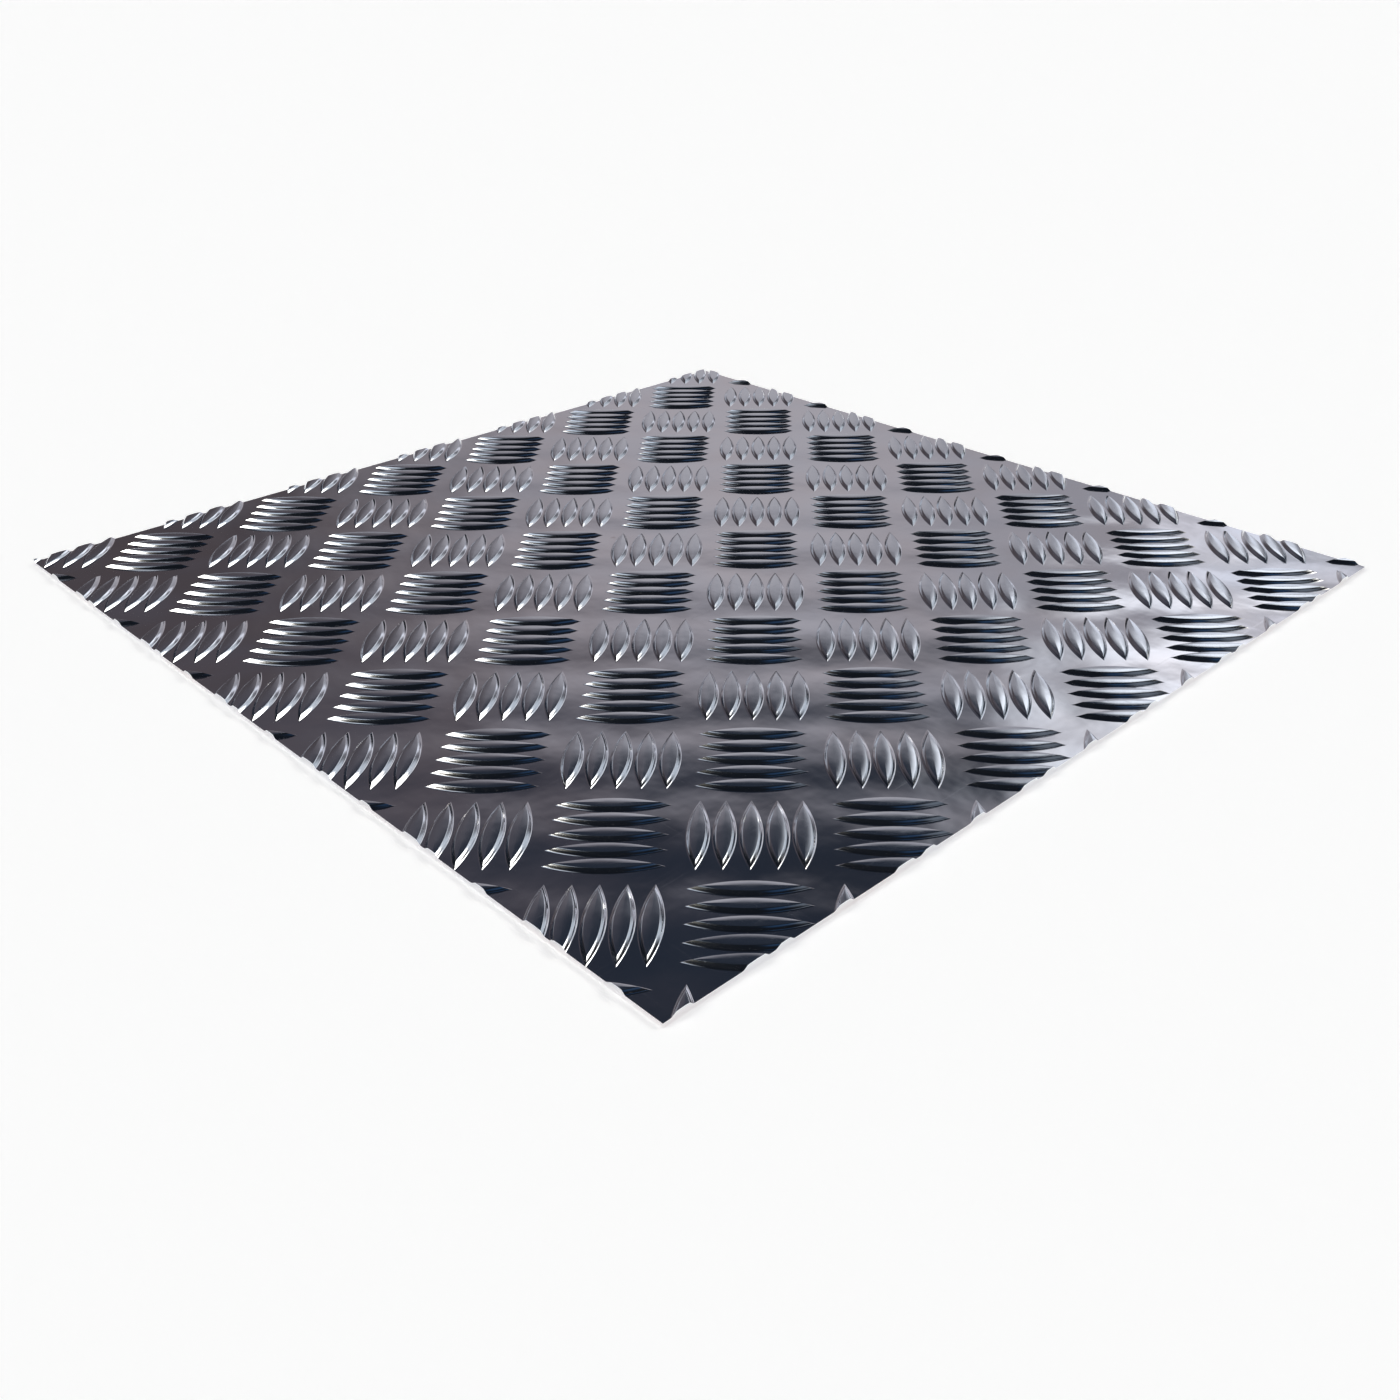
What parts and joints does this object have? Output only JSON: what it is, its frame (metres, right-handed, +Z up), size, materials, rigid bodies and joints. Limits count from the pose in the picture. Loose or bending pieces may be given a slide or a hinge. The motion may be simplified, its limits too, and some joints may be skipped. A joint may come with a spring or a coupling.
{
  "type": "checker plate",
  "caption": "Square cut of thin aluminium checker plate with raised pointed tread bars in alternating groups; flat underside, for floors, steps, ramps and cladding.",
  "frame": {"origin": "middle of the sheet's flat underside", "axes": "+Z up out of the tread face; +X and +Y along the sheet's two pairs of sides; the picture looks from +X -Y towards -X +Y"},
  "size_m": [0.3, 0.3, 0.0022],
  "materials": {
    "mill_aluminium": "bright mill finish"
  },
  "bodies": {
    "root": {"checker_plate": "mill_aluminium"}
  },
  "joints": []
}
